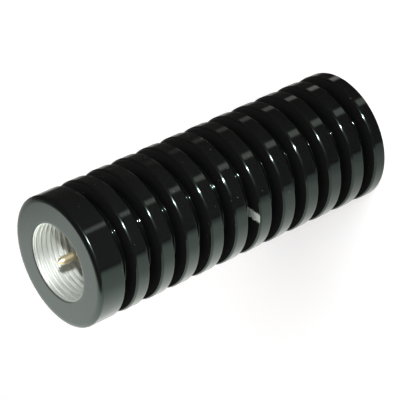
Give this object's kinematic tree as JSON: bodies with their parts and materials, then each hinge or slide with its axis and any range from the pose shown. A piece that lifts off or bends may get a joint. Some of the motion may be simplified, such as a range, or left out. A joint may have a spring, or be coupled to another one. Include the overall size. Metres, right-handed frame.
{
  "type": "coaxial terminator",
  "caption": "Finned black coaxial terminator: a turned heat sink with a threaded socket and a gold centre pin, holding a film resistor that ends a coaxial line.",
  "frame": {"origin": "centre of the plain rear face, on which the terminator stands", "axes": "+Z along the axis, from the rear face to the mouth of the threaded socket"},
  "size_m": [0.0254, 0.0254, 0.0683],
  "materials": {
    "black_anodised_aluminium": "gloss black anodised",
    "gold_plate": "bright gold plated",
    "brass": "turned",
    "ptfe": "machined, waxy white",
    "nickel_plate": "bright nickel plated",
    "solder": "dull bright",
    "resistive_film": "fired film on ceramic, matt",
    "ceramic": "fired alumina, matt",
    "spring_steel": "bright rolled"
  },
  "bodies": {
    "root": {"heat_sink": "black_anodised_aluminium", "centre_pin": "gold_plate", "clamp_ring": "brass", "front_bead": "ptfe", "rear_bead": "ptfe", "front_terminal": "nickel_plate", "pin_solder": "solder", "resistor_rod": "resistive_film", "rear_terminal": "nickel_plate", "thermal_sleeve": "ceramic", "ground_disc": "brass", "disc_spring_1": "spring_steel", "disc_spring_2": "spring_steel", "disc_spring_3": "spring_steel", "disc_spring_4": "spring_steel"}
  },
  "joints": []
}
